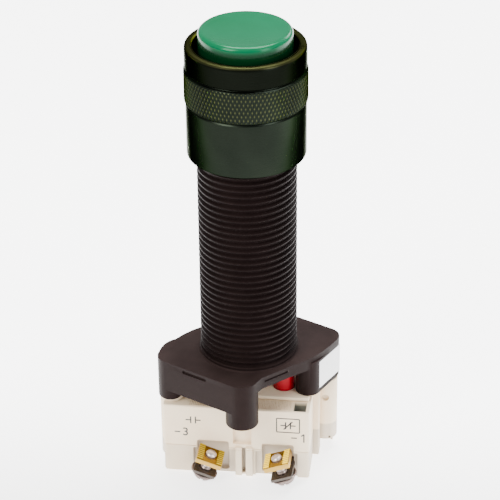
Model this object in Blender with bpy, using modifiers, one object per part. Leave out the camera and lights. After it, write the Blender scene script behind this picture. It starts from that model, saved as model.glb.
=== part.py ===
"""Industrial push button: a green cap in a long threaded barrel, over a two-pole contact block.

Sizes are in millimetres; MM turns them into metres where a mesh is made. The origin is on the
button's axis at the contact block's base, +Z up towards the cap, -Y the front of the block.
The block and the flange look the same after half a turn about Z.
"""
from math import cos, pi, radians, sin

import bmesh
import bpy
from mathutils import Matrix, Vector

MM = 0.001
GAP = 0.3            # between pieces that rest on each other

# Overall heights: each level stands on the one below
BLOCK_TOP = 25.2     # the contact block's shoulders
COVER_TOP = BLOCK_TOP + 1.5
LEG_BOTTOM = COVER_TOP + GAP
FLANGE_TOP = LEG_BOTTOM + 14.0   # the flange's upper face, which meets the panel from behind
BARREL_LENGTH = 93.8
BARREL_TOP = FLANGE_TOP + BARREL_LENGTH
TRAVEL = 4.0         # how far the button goes in

# Barrel and its thread
THREAD_R = 15.0
THREAD_ROOT_R = THREAD_R - 0.9
THREAD_PITCH = 2.06
THREAD_UNDER_BEZEL = 3.0   # above this the thread is left plain, at its crest
COLLAR_R = THREAD_R + 0.4
COLLAR_HEIGHT = 1.35
GUIDE_BORE_R = 11.7  # upper bore, which holds the guide bush
GUIDE_SEAT_BELOW_TOP = 18.0
BARREL_BORE_R = 9.0
WEB_TOP = FLANGE_TOP + 3.4   # the barrel's lower end wall
STEM_R = 4.0
STEM_CLEARANCE = 0.35

# Flange, in its own frame, which is turned from the block's
FLANGE_TURN = radians(-26.6)
FLANGE_THICKNESS = 4.0
FLANGE_HALF_X = 21.7
FLANGE_HALF_Y = 22.2
FLANGE_CORNER_R = 4.5
POST_R = 5.1         # free posts, front and rear
POST_AT = (8.55, -17.08)
POST_BOTTOM = BLOCK_TOP - 0.1
LEG_WIDTH = 7.8      # long legs that take the mounting screws
LEG_END_Y = 2.8
LEG_INSET = 0.15
SKIRT_BOTTOM = LEG_BOTTOM + 3.5
SKIRT_WALL = 2.4
LABEL_WIDTH = 12.3
LABEL_HEIGHT = 9.8
LABEL_DROP = 2.9     # from the flange's upper face
LABEL_CENTRE_Y = 13.4
LABEL_THICKNESS = 0.3
NOTCH_X = (1.3, 10.0)      # slot in the flange's edge, with its drop from the upper face
NOTCH_DROP = (0.9, 2.0)
NOTCH_DEPTH = 0.5
STRIP_DROP = (1.2, 1.9)    # shallow groove along the slanted edge beside each free post
STRIP_DEPTH = 0.35

# Bezel ring
BEZEL_BOTTOM = BARREL_TOP - 25.3
BEZEL_TOP = BARREL_TOP + 9.9
BEZEL_R = THREAD_R + 2.8
BEZEL_UPPER_R = BEZEL_R + 0.1
KNURL_R = BEZEL_R + 0.5
KNURL_BOTTOM = BARREL_TOP - 7.9
KNURL_TOP = BARREL_TOP + 2.7
BEZEL_RIM_R = BEZEL_R - 2.4   # inside the rim
BEZEL_LIP_R = BEZEL_R - 3.5
BEZEL_LIP = 1.5
THREAD_CLEARANCE = 0.3

# Cap
CAP_R = BEZEL_RIM_R - 1.54
CAP_TOP = BARREL_TOP + 14.2
CAP_BOTTOM = BARREL_TOP + 5.5
CAP_WALL = 1.6
CAP_DISH = 0.5
CAP_BOSS_R = 5.0
SEAL_THICKNESS = 0.7
SEAL_INNER_R = CAP_R - 1.56

# Stem and what is on it
STEM_TOP_R = 3.2
STEM_TAIL_R = 2.5
GUIDE_TOP_SEAT = 2.7  # the spring's seat, below the barrel's top
SPRING_R = 7.5
SPRING_WIRE = 0.9
SPRING_TURNS = 5
CLIP_R = 6.5
CLIP_THICKNESS = 0.8
PUSHER_R = 4.5
PUSHER_HALF_LENGTH = 14.0
PUSHER_THICKNESS = 2.5
NUT_THICKNESS = 1.9
NUT_R = 4.1

# Contact block
BLOCK_HALF_DEPTH = 12.75
BLOCK_LONG_END = 26.0    # the end that reaches round a mounting screw
BLOCK_BODY_END = 22.3
BLOCK_SHORT_END = 20.3
COVER_HALF_X = 19.6
COVER_HALF_Y = 7.0
EAR_AT = (23.7, 7.1)
EAR_R = 3.75
EAR_BOTTOM = 4.0
POLE_X = 11.0
CAVITY_X = (POLE_X - 7.0, POLE_X + 6.5)
CAVITY_Z = (2.2, BLOCK_TOP - 1.5)
CAVITY_STEP_Z = 11.0
CAVITY_Y = 10.4
LOWER_CAVITY_Y = 7.5
POCKET_Y = 9.4           # back of the terminal pockets
POCKET_Z = 9.5
POCKET_X = (3.2, 16.6)
ARCH_HALF_WIDTH = 5.1    # the pocket's taller part, over a clamp plate
ARCH_TOP = 12.6
CORNER_POCKET = (15.3, 19.1, 7.0, 11.3, 2.2)   # x, x, y, y, depth
GROOVE_X = (-3.9, 2.0)   # upright groove in the middle of a half's outer face
GROOVE_Z = (11.7, 18.0)
GROOVE_DEPTH = 1.6
SLOT_X = (-1.3, 0.2)
SLOT_Z = 10.8

# Plungers and moving contacts
PLUNGER_R = 3.3
PLUNGER_TOP = COVER_TOP + 6.8
PLUNGER_CLEARANCE = 0.3
CARRIER_X = 8.0
CARRIER_Y = 7.0
CARRIER_Z = (11.5, CAVITY_Z[1] - GAP)
WINDOW_Z = (13.0, CARRIER_Z[1] - 2.4)
WINDOW_X = 4.6
BRIDGE_WIDTH = 3.4
BRIDGE_HALF_LENGTH = 6.3
BRIDGE_THICKNESS = 0.8
CONTACT_R = 1.2
CONTACT_HEIGHT = 0.6
CONTACT_Y = 5.2
CONTACT_SPRING_R = 1.6
CONTACT_SPRING_WIRE = 0.45
BLOCK_SPRING_R = 2.6
BLOCK_SPRING_WIRE = 0.5

# Terminals, each tilted outwards about the block's front normal
TERMINAL_TILT = radians(20)
TERMINAL_AT = (POLE_X - 0.7, BLOCK_HALF_DEPTH + 3.65, 10.0)   # middle of the clamp plate's upper face
CLAMP_WIDTH = 8.4
CLAMP_DEPTH = 8.0
CLAMP_THICKNESS = 2.2
WIRE_GAP = 3.2
STRAP_WIDTH = 7.0
STRAP_THICKNESS = 0.9
STRAP_FRONT_Y = TERMINAL_AT[1] + 3.8
RISER_Y = (6.7, 7.3)
TERMINAL_SCREW_R = 1.75
TERMINAL_HEAD_R = 3.6
TERMINAL_HEAD = 2.6
SCREW_CLEARANCE = 0.3

# Mounting screws and the inserts they turn into
MOUNT_SCREW_R = 1.5
MOUNT_HEAD_R = 2.5
MOUNT_HEAD = 2.2
MOUNT_SCREW_TOP = LEG_BOTTOM + 8.0
INSERT_R = 2.5
INSERT_HEIGHT = 6.0

ROUND = 32           # sides of a large round piece
SMALL_ROUND = 20

COLOURS = {          # base colour, roughness, metallic
    "green_cap": ((0.010, 0.250, 0.090), 0.25, 0.0),
    "bezel": ((0.012, 0.020, 0.014), 0.30, 1.0),
    "barrel": ((0.020, 0.018, 0.017), 0.45, 0.0),
    "housing": ((0.82, 0.78, 0.70), 0.45, 0.0),
    "acetal": ((0.75, 0.74, 0.70), 0.40, 0.0),
    "steel": ((0.60, 0.58, 0.56), 0.30, 1.0),
    "spring_steel": ((0.45, 0.45, 0.46), 0.28, 1.0),
    "brass": ((0.75, 0.53, 0.14), 0.30, 1.0),
    "silver_strap": ((0.72, 0.70, 0.66), 0.28, 1.0),
    "red_plunger": ((0.60, 0.015, 0.02), 0.35, 0.0),
    "green_plunger": ((0.02, 0.30, 0.10), 0.35, 0.0),
    "rubber": ((0.02, 0.02, 0.02), 0.75, 0.0),
    "label": ((0.85, 0.85, 0.85), 0.40, 0.0),
}

for old in list(bpy.data.objects):
    bpy.data.objects.remove(old, do_unlink=True)

PARTS = bpy.data.collections.new("push_button")
CUTTERS = bpy.data.collections.new("cutters")
bpy.context.scene.collection.children.link(PARTS)
bpy.context.scene.collection.children.link(CUTTERS)


def material(name):
    found = bpy.data.materials.get(name)
    if found:
        return found
    colour, roughness, metallic = COLOURS[name]
    made = bpy.data.materials.new(name)
    made.use_nodes = True
    shader = made.node_tree.nodes["Principled BSDF"]
    shader.inputs["Base Color"].default_value = (*colour, 1)
    shader.inputs["Roughness"].default_value = roughness
    shader.inputs["Metallic"].default_value = metallic
    made.diffuse_color = (*colour, 1)
    return made


def add(name, bm_or_mesh, finish=None):
    """An object in the parts, or among the cutters when it has no finish."""
    if isinstance(bm_or_mesh, bmesh.types.BMesh):
        bmesh.ops.recalc_face_normals(bm_or_mesh, faces=bm_or_mesh.faces)
        mesh = bpy.data.meshes.new(name)
        bm_or_mesh.to_mesh(mesh)
        bm_or_mesh.free()
    else:
        mesh = bm_or_mesh
    made = bpy.data.objects.new(name, mesh)
    if finish:
        mesh.materials.append(material(finish))
        PARTS.objects.link(made)
    else:
        CUTTERS.objects.link(made)
        made.hide_render = True
        made.display_type = "WIRE"
    mesh.shade_smooth()
    mesh.set_sharp_from_angle(angle=radians(35))
    return made


def box(name, x, y, z, finish=None, edge=0.0):
    """A block between pairs of limits, its edges rounded off by edge."""
    bm = bmesh.new()
    size = Vector((x[1] - x[0], y[1] - y[0], z[1] - z[0])) * MM
    middle = Vector((x[0] + x[1], y[0] + y[1], z[0] + z[1])) * MM / 2
    bmesh.ops.create_cube(bm, size=1, matrix=Matrix.Translation(middle) @ Matrix.Diagonal((*size, 1)))
    if edge:
        bmesh.ops.bevel(bm, geom=bm.edges[:], offset=edge * MM, segments=1, affect="EDGES")
    return add(name, bm, finish)


def cylinder(name, at, radius, z, finish=None, sides=SMALL_ROUND, edge=0.0):
    bm = bmesh.new()
    place = Matrix.Translation(Vector((at[0], at[1], (z[0] + z[1]) / 2)) * MM)
    bmesh.ops.create_cone(bm, cap_ends=True, segments=sides, radius1=radius * MM,
                          radius2=radius * MM, depth=(z[1] - z[0]) * MM, matrix=place)
    if edge:
        ends = [e for e in bm.edges if abs(e.verts[0].co.z - e.verts[1].co.z) < 1e-7]
        bmesh.ops.bevel(bm, geom=ends, offset=edge * MM, segments=2, affect="EDGES")
    return add(name, bm, finish)


def turned(name, profile, finish=None, sides=ROUND, at=(0, 0), closed=False):
    """A profile of (radius, height) that runs down its outer side, swept round an upright axis."""
    mesh = bpy.data.meshes.new(name)
    count = len(profile)
    edges = [(i, i + 1) for i in range(count - 1)] + ([(count - 1, 0)] if closed else [])
    mesh.from_pydata([(r * MM, 0, z * MM) for r, z in profile], edges, [])
    made = add(name, mesh, finish)
    made.location = (at[0] * MM, at[1] * MM, 0)
    screw = made.modifiers.new("turn", "SCREW")
    screw.steps = screw.render_steps = sides
    screw.use_merge_vertices = True
    screw.merge_threshold = 1e-6
    return made


def as_mesh(source):
    """The object's mesh with its modifiers applied."""
    bpy.context.view_layer.update()
    graph = bpy.context.evaluated_depsgraph_get()
    return bpy.data.meshes.new_from_object(source.evaluated_get(graph))


def welded(source):
    """A curve as a closed mesh, its loose caps welded to its sides."""
    mesh = as_mesh(source)
    bm = bmesh.new()
    bm.from_mesh(mesh)
    bmesh.ops.remove_doubles(bm, verts=bm.verts, dist=1e-6)
    bmesh.ops.recalc_face_normals(bm, faces=bm.faces)
    bm.to_mesh(mesh)
    bm.free()
    return mesh


def prism(name, outline, z, finish=None, edge=0.0):
    """A flat outline, made thick between two heights."""
    curve = bpy.data.curves.new(name, "CURVE")
    curve.dimensions = "2D"
    curve.fill_mode = "BOTH"
    curve.extrude = (z[1] - z[0]) / 2 * MM
    spline = curve.splines.new("POLY")
    spline.points.add(len(outline) - 1)
    for point, (x, y) in zip(spline.points, outline):
        point.co = (x * MM, y * MM, 0, 1)
    spline.use_cyclic_u = True
    drawn = bpy.data.objects.new(name + "_outline", curve)
    drawn.location.z = (z[0] + z[1]) / 2 * MM
    CUTTERS.objects.link(drawn)
    mesh = welded(drawn)
    mesh.transform(Matrix.Translation(drawn.location))
    mesh.name = name
    mesh.materials.clear()
    bpy.data.objects.remove(drawn)
    made = add(name, mesh, finish)
    if edge:
        bevel = made.modifiers.new("edges", "BEVEL")
        bevel.width = edge * MM
        bevel.segments = 1
        bevel.limit_method = "ANGLE"
        bevel.angle_limit = radians(60)
    return made


def combine(target, other, operation):
    boolean = target.modifiers.new(operation.lower(), "BOOLEAN")
    boolean.operation = operation
    boolean.object = other
    boolean.solver = "EXACT"
    return target


def cut(target, *cutters):
    for cutter in cutters:
        combine(target, cutter, "DIFFERENCE")
    return target


def join(target, *others):
    for other in others:
        combine(target, other, "UNION")
    return target


def half_turn(source, name, finish):
    """The same shape on the other side of the button's axis, as its own object."""
    made = bpy.data.objects.new(name, as_mesh(source))
    made.data.name = name
    made.data.materials.clear()
    made.data.materials.append(material(finish))
    made.rotation_euler.z = pi
    PARTS.objects.link(made)
    return made


def arc(centre, radius, start, end, steps):
    """Points on an arc, angles in degrees, running from start to end."""
    return [(centre[0] + radius * cos(radians(start + (end - start) * i / steps)),
             centre[1] + radius * sin(radians(start + (end - start) * i / steps)))
            for i in range(steps + 1)]


def turn_flange(points):
    c, s = cos(FLANGE_TURN), sin(FLANGE_TURN)
    return [(x * c - y * s, x * s + y * c) for x, y in points]


def spring(name, at, radius, wire, z, turns, finish, closed_turns=1.0):
    """A compression spring: its wire's middle line climbs slowly in the end turns, which are closed."""
    low, high = z[0] + wire / 2, z[1] - wire / 2
    per_turn = 12
    steps = int((turns + 2 * closed_turns) * per_turn)
    curve = bpy.data.curves.new(name, "CURVE")
    curve.dimensions = "3D"
    curve.bevel_depth = wire / 2 * MM
    curve.bevel_resolution = 0
    curve.use_fill_caps = True
    spline = curve.splines.new("POLY")
    spline.points.add(steps)
    closed_rise = closed_turns * wire * 1.08
    for i, point in enumerate(spline.points):
        turn = i / per_turn
        if turn < closed_turns:
            height = low + closed_rise * turn / closed_turns
        elif turn > closed_turns + turns:
            height = high - closed_rise * (2 * closed_turns + turns - turn) / closed_turns
        else:
            share = (turn - closed_turns) / turns
            height = low + closed_rise + (high - low - 2 * closed_rise) * share
        angle = 2 * pi * turn
        point.co = ((at[0] + radius * cos(angle)) * MM, (at[1] + radius * sin(angle)) * MM,
                    height * MM, 1)
    drawn = bpy.data.objects.new(name + "_path", curve)
    CUTTERS.objects.link(drawn)
    mesh = welded(drawn)
    mesh.name = name
    mesh.materials.clear()
    bpy.data.objects.remove(drawn)
    return add(name, mesh, finish)


def operator_body():
    """The moulded operator: threaded barrel, flange, two free posts and two legs, in one piece."""
    thread_bottom = FLANGE_TOP + COLLAR_HEIGHT
    thread_top = BEZEL_BOTTOM + THREAD_UNDER_BEZEL
    rings = int((thread_top - thread_bottom) / THREAD_PITCH)
    profile = [(0, BARREL_TOP), (THREAD_ROOT_R, BARREL_TOP), (THREAD_R, BARREL_TOP - 1),
               (THREAD_R, thread_bottom + (rings + 0.5) * THREAD_PITCH)]
    for ring in range(rings, 0, -1):
        profile += [(THREAD_ROOT_R, thread_bottom + ring * THREAD_PITCH),
                    (THREAD_R, thread_bottom + (ring - 0.5) * THREAD_PITCH)]
    profile.append((THREAD_ROOT_R, thread_bottom))
    profile += [(COLLAR_R, thread_bottom), (COLLAR_R, FLANGE_TOP - 1.3), (0, FLANGE_TOP - 1.3)]
    body = turned("operator_body", profile, "barrel", sides=28)

    plate_z = (FLANGE_TOP - FLANGE_THICKNESS, FLANGE_TOP)
    into_plate = FLANGE_TOP - FLANGE_THICKNESS / 2
    side = FLANGE_HALF_X
    half = arc((-side + FLANGE_CORNER_R, -FLANGE_HALF_Y + FLANGE_CORNER_R), FLANGE_CORNER_R,
               180, 270, 5)
    half += arc(POST_AT, POST_R, -90, 5, 6)
    half += slanted_edge() + [(side - 1.4, 3.0)]
    outline = half + [(-x, -y) for x, y in half]
    plate = prism("flange_plate", turn_flange(outline), plate_z)
    extras = [plate]
    for turn in (0, 1):
        flip = 1 - 2 * turn
        leg_r = LEG_WIDTH / 2
        outer = side - LEG_INSET
        centre_x = outer - leg_r
        corner_y = FLANGE_HALF_Y - LEG_INSET - FLANGE_CORNER_R
        leg = arc((centre_x, LEG_END_Y + leg_r), leg_r, 180, 360, 8)
        leg += arc((outer - FLANGE_CORNER_R, corner_y), FLANGE_CORNER_R, 0, 90, 4)
        leg += [(outer - LEG_WIDTH, FLANGE_HALF_Y - LEG_INSET)]
        leg = [(x * flip, y * flip) for x, y in leg]
        extras.append(prism(f"leg_{turn}", turn_flange(leg), (LEG_BOTTOM, into_plate), edge=0.8))
        at = turn_flange([(POST_AT[0] * flip, POST_AT[1] * flip)])[0]
        extras.append(cylinder(f"post_{turn}", at, POST_R - LEG_INSET, (POST_BOTTOM, into_plate),
                               sides=24, edge=1.0))
        wall = (FLANGE_HALF_Y - LEG_INSET - SKIRT_WALL, FLANGE_HALF_Y - LEG_INSET)
        skirt = [(-POST_AT[0], wall[0]), (side - LEG_WIDTH + 1, wall[0]),
                 (side - LEG_WIDTH + 1, wall[1] - 0.05), (-POST_AT[0], wall[1] - 0.05)]
        skirt = [(x * flip, y * flip) for x, y in skirt]
        extras.append(prism(f"skirt_{turn}", turn_flange(skirt), (SKIRT_BOTTOM, into_plate)))
    join(body, *extras)

    bores = turned("operator_bores", [
        (0, BARREL_TOP + 5), (GUIDE_BORE_R, BARREL_TOP + 5),
        (GUIDE_BORE_R, BARREL_TOP - GUIDE_SEAT_BELOW_TOP),
        (BARREL_BORE_R, BARREL_TOP - GUIDE_SEAT_BELOW_TOP), (BARREL_BORE_R, WEB_TOP),
        (STEM_R + STEM_CLEARANCE, WEB_TOP), (STEM_R + STEM_CLEARANCE, LEG_BOTTOM - 5),
        (0, LEG_BOTTOM - 5)], sides=24)
    cutters = [bores]
    for flip in (1, -1):
        ear = (EAR_AT[0] * flip, EAR_AT[1] * flip)
        cutters.append(cylinder(f"screw_hole_{flip}", ear, INSERT_R + GAP / 2,
                                (LEG_BOTTOM - 2, MOUNT_SCREW_TOP + 0.8)))
        inner, outer = FLANGE_HALF_Y - NOTCH_DEPTH, FLANGE_HALF_Y + 1
        notch = [(NOTCH_X[0], inner), (NOTCH_X[0], outer), (NOTCH_X[1], outer), (NOTCH_X[1], inner)]
        notch = [(x * flip, y * flip) for x, y in notch]
        cutters.append(prism(f"notch_{flip}", turn_flange(notch),
                             (FLANGE_TOP - NOTCH_DROP[1], FLANGE_TOP - NOTCH_DROP[0])))
        strip = strip_outline([(x * flip, y * flip) for x, y in slanted_edge()])
        cutters.append(prism(f"strip_{flip}", turn_flange(strip),
                             (FLANGE_TOP - STRIP_DROP[1], FLANGE_TOP - STRIP_DROP[0])))
    recess = label_outline(FLANGE_HALF_X - LEG_INSET - LABEL_THICKNESS - GAP / 2, 1.0, GAP / 2)
    cutters.append(prism("label_recess", turn_flange(recess),
                         (label_bottom() - GAP / 2, label_top() + GAP / 2)))
    cut(body, *cutters)
    return body


def slanted_edge():
    """The two ends of the flange's slanted edge, between a free post and a leg."""
    return [(POST_AT[0] + POST_R, POST_AT[1] + 3.7), (FLANGE_HALF_X - 4.2, -3.3)]


def strip_outline(ends):
    """A band along a slanted edge that goes STRIP_DEPTH into it and stands 1 mm out of it."""
    first, last = (Vector(end) for end in ends)
    along = (last - first).normalized()
    outward = Vector((along.y, -along.x))
    first, last = first + along, last - along
    inner, outer = -STRIP_DEPTH * outward, 1.0 * outward
    return [tuple(first + inner), tuple(first + outer), tuple(last + outer), tuple(last + inner)]


def label_top():
    return FLANGE_TOP - LABEL_DROP


def label_bottom():
    return FLANGE_TOP - LABEL_DROP - LABEL_HEIGHT


def label_outline(inner, thickness, margin):
    """The label's plan outline on the right leg's outer wall, in the flange's frame."""
    low = LABEL_CENTRE_Y - LABEL_WIDTH / 2 - margin
    high = LABEL_CENTRE_Y + LABEL_WIDTH / 2 + margin
    return [(inner, low), (inner + thickness, low), (inner + thickness, high), (inner, high)]


def operator_pieces():
    """Bezel ring, cap, seal, stem and its guide, clip, return spring, pusher, nut and label."""
    bore = THREAD_R + THREAD_CLEARANCE
    lip_bottom = BARREL_TOP + 2 * GAP + SEAL_THICKNESS
    turned("bezel_ring", [
        (BEZEL_RIM_R + 0.6, BEZEL_TOP), (BEZEL_UPPER_R - 0.9, BEZEL_TOP),
        (BEZEL_UPPER_R - 0.25, BEZEL_TOP - 0.3), (BEZEL_UPPER_R, BEZEL_TOP - 1.0),
        (BEZEL_UPPER_R, KNURL_TOP + 0.5), (BEZEL_UPPER_R - 0.35, KNURL_TOP + 0.2),
        (BEZEL_UPPER_R - 0.35, KNURL_TOP), (KNURL_R, KNURL_TOP - 0.4),
        (KNURL_R, KNURL_BOTTOM + 0.4), (BEZEL_R - 0.2, KNURL_BOTTOM),
        (BEZEL_R - 0.2, KNURL_BOTTOM - 0.2), (BEZEL_R, KNURL_BOTTOM - 0.5),
        (BEZEL_R, BEZEL_BOTTOM + 0.6), (BEZEL_R - 0.6, BEZEL_BOTTOM), (bore + 0.6, BEZEL_BOTTOM),
        (bore, BEZEL_BOTTOM + 0.6), (bore, lip_bottom), (BEZEL_LIP_R, lip_bottom),
        (BEZEL_LIP_R, lip_bottom + BEZEL_LIP), (BEZEL_RIM_R, lip_bottom + BEZEL_LIP),
        (BEZEL_RIM_R, BEZEL_TOP - 0.6)], "bezel", sides=40, closed=True)

    ceiling = CAP_TOP - CAP_DISH - 2.1
    boss_bottom = CAP_BOTTOM + 1.3
    socket_r = STEM_TOP_R + GAP
    socket_top = ceiling - 0.6
    turned("button_cap", [
        (0, CAP_TOP - CAP_DISH), (CAP_R * 0.55, CAP_TOP - CAP_DISH * 0.65),
        (CAP_R - 2.2, CAP_TOP - CAP_DISH * 0.15), (CAP_R - 1.3, CAP_TOP),
        (CAP_R - 0.45, CAP_TOP - 0.3), (CAP_R, CAP_TOP - 1.2), (CAP_R, CAP_BOTTOM),
        (CAP_R - CAP_WALL, CAP_BOTTOM), (CAP_R - CAP_WALL, ceiling), (CAP_BOSS_R, ceiling),
        (CAP_BOSS_R, boss_bottom), (socket_r, boss_bottom), (socket_r, socket_top),
        (0, socket_top)], "green_cap", sides=40)

    seal_z = (BARREL_TOP + GAP, BARREL_TOP + GAP + SEAL_THICKNESS)
    turned("cap_seal", [(SEAL_INNER_R, seal_z[1]), (THREAD_R, seal_z[1]), (THREAD_R, seal_z[0]),
                        (SEAL_INNER_R, seal_z[0])], "rubber", closed=True)

    guide_bottom = BARREL_TOP - GUIDE_SEAT_BELOW_TOP + GAP
    guide_seat = BARREL_TOP - GUIDE_TOP_SEAT
    guide_r = GUIDE_BORE_R - GAP
    guide_hole = STEM_R + STEM_CLEARANCE
    cup_r = SPRING_R + SPRING_WIRE / 2 + 0.6
    turned("stem_guide", [
        (cup_r, BARREL_TOP - GAP), (guide_r, BARREL_TOP - GAP), (guide_r, guide_bottom),
        (guide_hole, guide_bottom), (guide_hole, guide_seat), (cup_r, guide_seat)],
        "acetal", closed=True)

    spring("return_spring", (0, 0), SPRING_R, SPRING_WIRE, (guide_seat + GAP, ceiling - GAP),
           SPRING_TURNS, "spring_steel")

    clip_top = guide_bottom - GAP
    groove = (clip_top - CLIP_THICKNESS - GAP, clip_top + GAP)
    pusher_top = PLUNGER_TOP + GAP + PUSHER_THICKNESS
    nut_top = PLUNGER_TOP
    turned("plunger_stem", [
        (0, socket_top - GAP), (STEM_TOP_R, socket_top - GAP), (STEM_TOP_R, boss_bottom - GAP),
        (STEM_R, boss_bottom - GAP), (STEM_R, groove[1]), (STEM_R - 1, groove[1]),
        (STEM_R - 1, groove[0]), (STEM_R, groove[0]), (STEM_R, pusher_top + GAP),
        (STEM_TAIL_R, pusher_top + GAP), (STEM_TAIL_R, nut_top - NUT_THICKNESS - 0.4),
        (0, nut_top - NUT_THICKNESS - 0.4)], "acetal", sides=24)

    clip = turned("retaining_clip", [
        (STEM_R - 1 + GAP, clip_top), (CLIP_R, clip_top), (CLIP_R, clip_top - CLIP_THICKNESS),
        (STEM_R - 1 + GAP, clip_top - CLIP_THICKNESS)], "spring_steel", sides=24, closed=True)
    cut(clip, box("clip_mouth", (-2.6, 2.6), (-CLIP_R - 1, 0), (clip_top - 3, clip_top + 3)))

    middle = PUSHER_HALF_LENGTH - PUSHER_R
    outline = arc((middle, 0), PUSHER_R, -90, 90, 8) + arc((-middle, 0), PUSHER_R, 90, 270, 8)
    pusher = prism("pusher_plate", outline, (pusher_top - PUSHER_THICKNESS, pusher_top), "acetal",
                   edge=0.4)
    hole_r = STEM_TAIL_R + SCREW_CLEARANCE
    cut(pusher, cylinder("pusher_hole", (0, 0), hole_r, (nut_top - 5, pusher_top + 5)))
    nut = cylinder("stem_nut", (0, 0), NUT_R, (nut_top - NUT_THICKNESS, nut_top), "steel", sides=6)
    cut(nut, cylinder("nut_hole", (0, 0), hole_r, (nut_top - 5, nut_top + 5)))

    inner = FLANGE_HALF_X - LEG_INSET - LABEL_THICKNESS
    prism("rating_label", turn_flange(label_outline(inner, LABEL_THICKNESS, 0)),
          (label_bottom(), label_top()), "label")


def block_half(name):
    """One half of the block's housing: the front one, whose long end is at -X."""
    face = -BLOCK_HALF_DEPTH
    seam = -GAP / 2
    ear = (-EAR_AT[0], -EAR_AT[1])
    outline = arc((-BLOCK_LONG_END + 1.2, face + 1.2), 1.2, 180, 270, 3)
    outline += arc((BLOCK_SHORT_END - 0.8, face + 0.8), 0.8, -90, 0, 2)
    outline += [(BLOCK_SHORT_END, seam), (-BLOCK_BODY_END, seam),
                (-BLOCK_BODY_END, ear[1] - 0.5), (-BLOCK_LONG_END, ear[1] - 1.5)]
    half = prism(name, outline, (0, BLOCK_TOP), "housing", edge=0.5)
    boss = cylinder(name + "_ear", ear, EAR_R, (EAR_BOTTOM, COVER_TOP), edge=0.6)
    join(half, boss)
    screw_r = MOUNT_SCREW_R + SCREW_CLEARANCE
    cutters = [
        cylinder("ear_hole", ear, screw_r, (-5, COVER_TOP + 5)),
        cylinder("ear_counterbore", ear, MOUNT_HEAD_R + SCREW_CLEARANCE,
                 (-5, EAR_BOTTOM + MOUNT_HEAD + 2 * GAP)),
        box("groove", GROOVE_X, (face - 1, face + GROOVE_DEPTH), GROOVE_Z),
        box("slot", SLOT_X, (face - 1, face + 2.6), (-1, SLOT_Z)),
        box("corner_pocket", CORNER_POCKET[:2], (-CORNER_POCKET[3], -CORNER_POCKET[2]),
            (BLOCK_TOP - CORNER_POCKET[4], BLOCK_TOP + 1))]
    for side in (-1, 1):
        across = sorted((side * CAVITY_X[0], side * CAVITY_X[1]))
        pocket = sorted((side * POCKET_X[0], side * POCKET_X[1]))
        arch = sorted(side * TERMINAL_AT[0] + reach for reach in (-ARCH_HALF_WIDTH, ARCH_HALF_WIDTH))
        cutters += [
            box("upper_cavity", across, (-CAVITY_Y, 1), (CAVITY_STEP_Z, CAVITY_Z[1])),
            box("lower_cavity", across, (-LOWER_CAVITY_Y, 1), (CAVITY_Z[0], CAVITY_STEP_Z + 0.5)),
            box("terminal_pocket", pocket, (face - 1, -POCKET_Y), (-1, POCKET_Z), edge=0.4),
            box("terminal_arch", arch, (face - 1, -POCKET_Y - 0.4), (0, ARCH_TOP), edge=0.3),
            cylinder("plunger_hole", (side * POLE_X, 0), PLUNGER_R + PLUNGER_CLEARANCE,
                     (CAVITY_Z[1] - 1, BLOCK_TOP + 1), sides=24),
            strap_box("strap_slot", (side, -1), STRAP_WIDTH + 2 * GAP,
                      (LOWER_CAVITY_Y - 1, POCKET_Y + 1), GAP)]
    return cut(half, *cutters)


def tilted(made, corner):
    """Puts a piece modelled in a terminal's own frame in the block: corner is (X side, Y side)."""
    side, facing = corner
    x, y, z = TERMINAL_AT
    place = Matrix.Translation(Vector((side * x, facing * y, z)) * MM)
    made.matrix_world = place @ Matrix.Rotation(-side * TERMINAL_TILT, 4, "Y")
    return made


def strap_box(name, corner, width, reach, margin, finish=None):
    """The strap's flat tongue, or the slot it passes through: reach is its distances from Y = 0."""
    top = -CLAMP_THICKNESS - WIRE_GAP
    along = sorted(corner[1] * (distance - TERMINAL_AT[1]) for distance in reach)
    return tilted(box(name, (-width / 2, width / 2), along,
                      (top - STRAP_THICKNESS - margin, top + margin), finish), corner)


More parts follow.
